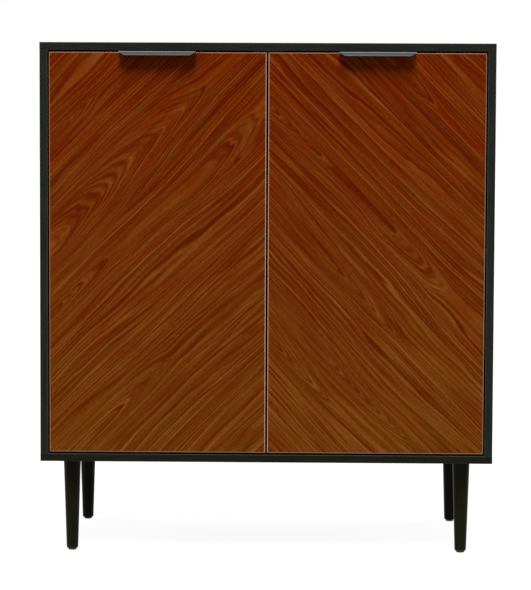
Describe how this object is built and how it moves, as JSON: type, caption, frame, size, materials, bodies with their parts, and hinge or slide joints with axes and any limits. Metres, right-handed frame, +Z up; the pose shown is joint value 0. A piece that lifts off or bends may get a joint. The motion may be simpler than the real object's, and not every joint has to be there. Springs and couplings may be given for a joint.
{
  "type": "sideboard",
  "caption": "Black sideboard cabinet on tapered round legs, with inset chevron walnut doors on concealed hinges, folded edge pulls, adjustable shelves and a magnetic catch.",
  "frame": {"origin": "on the floor, in the middle of the part's outline seen from above, pulls included", "axes": "+Z up, +X to the right as seen from the front, the doors and pulls face -Y"},
  "size_m": [0.7, 0.368, 0.795],
  "materials": {
    "board": "black fine-grained matt melamine face on particle board",
    "walnut": "walnut chevron print melamine, satin",
    "edge_band": "light tan satin plastic edge band, 1.3 mm",
    "back": "black printed face on 3 mm hardboard",
    "pull": "dark grey anodised, satin",
    "leg": "black lacquered beech, satin",
    "dowel": "bare beech",
    "glide": "black nylon",
    "pin_plastic": "black plastic",
    "hinge_steel": "nickel plated, satin",
    "fixing_steel": "zinc plated",
    "cam_zinc": "bare zinc die casting",
    "catch_plastic": "dark grey moulded plastic",
    "magnet": "sintered ferrite, matt"
  },
  "bodies": {
    "case": {"top_board": "board", "bottom_board": "board", "left_side_board": "board", "right_side_board": "board", "back_panel": "back", "lower_shelf": "board", "upper_shelf": "board", "shelf_pins": "pin_plastic", "case_dowels": "dowel", "case_cams": "cam_zinc", "cam_bolts": "fixing_steel", "leg_bolts": "fixing_steel", "tee_nuts": "fixing_steel", "front_left_leg": "leg", "front_right_leg": "leg", "rear_left_leg": "leg", "rear_right_leg": "leg", "foot_glides": "glide", "catch_housing": "catch_plastic", "catch_magnets": "magnet", "catch_screws": "fixing_steel", "left_hinge_arms": "hinge_steel", "left_hinge_plates": "hinge_steel", "left_plate_screws": "fixing_steel", "left_arm_screws": "fixing_steel", "right_hinge_arms": "hinge_steel", "right_hinge_plates": "hinge_steel", "right_plate_screws": "fixing_steel", "right_arm_screws": "fixing_steel"},
    "left_door": {"left_door_panel": "walnut", "left_door_edge_band": "edge_band", "left_edge_pull": "pull", "left_pull_screws": "fixing_steel", "left_hinge_cups": "hinge_steel", "left_hinge_pins": "hinge_steel", "left_cup_screws": "fixing_steel", "left_strike_plate": "fixing_steel", "left_strike_screw": "fixing_steel"},
    "right_door": {"right_door_panel": "walnut", "right_door_edge_band": "edge_band", "right_edge_pull": "pull", "right_pull_screws": "fixing_steel", "right_hinge_cups": "hinge_steel", "right_hinge_pins": "hinge_steel", "right_cup_screws": "fixing_steel", "right_strike_plate": "fixing_steel", "right_strike_screw": "fixing_steel"}
  },
  "joints": [
    {"name": "left_door_hinge", "type": "hinge", "parent": "case", "child": "left_door", "pos_m": [-0.3225, -0.1585, 0.471], "axis": [0, 0, -1], "range_deg": [0, 95]},
    {"name": "right_door_hinge", "type": "hinge", "parent": "case", "child": "right_door", "pos_m": [0.3225, -0.1585, 0.471], "axis": [0, 0, 1], "range_deg": [0, 95]}
  ]
}
